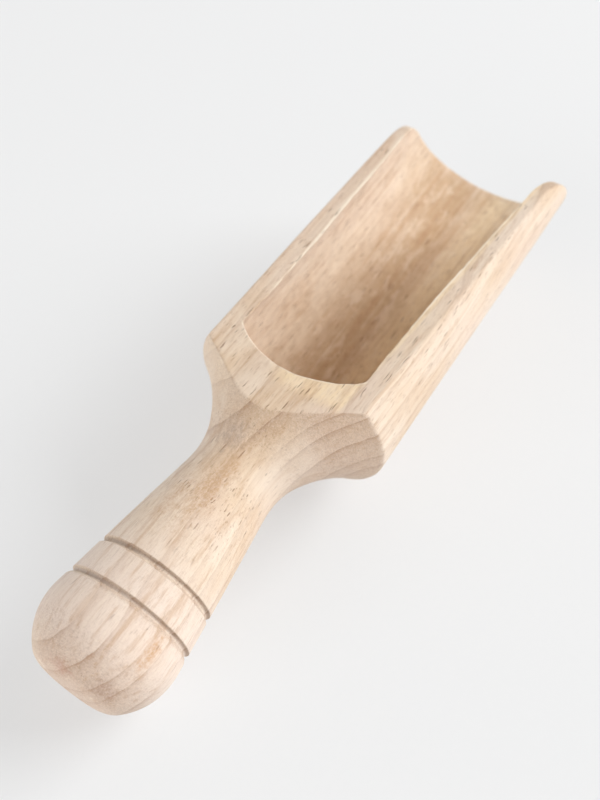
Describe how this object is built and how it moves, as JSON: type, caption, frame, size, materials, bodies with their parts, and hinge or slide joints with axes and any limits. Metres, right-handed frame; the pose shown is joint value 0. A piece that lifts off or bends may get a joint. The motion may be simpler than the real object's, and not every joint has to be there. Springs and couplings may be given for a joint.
{
  "type": "hand scoop",
  "caption": "Small one-piece turned wooden hand scoop: domed knob, grooved tapering handle, flared shoulder and a half-open round bowl with a slanted lip, for measuring dry goods.",
  "frame": {"origin": "centre of the flat end of the knob, on the turning axis", "axes": "+X along the turning axis from the knob towards the pouring lip, +Z out of the open side of the bowl, Y across the bowl"},
  "size_m": [0.1425, 0.04, 0.0327],
  "materials": {
    "wood": "bare sanded beech, no oil or lacquer"
  },
  "bodies": {
    "root": {"scoop": "wood"}
  },
  "joints": []
}
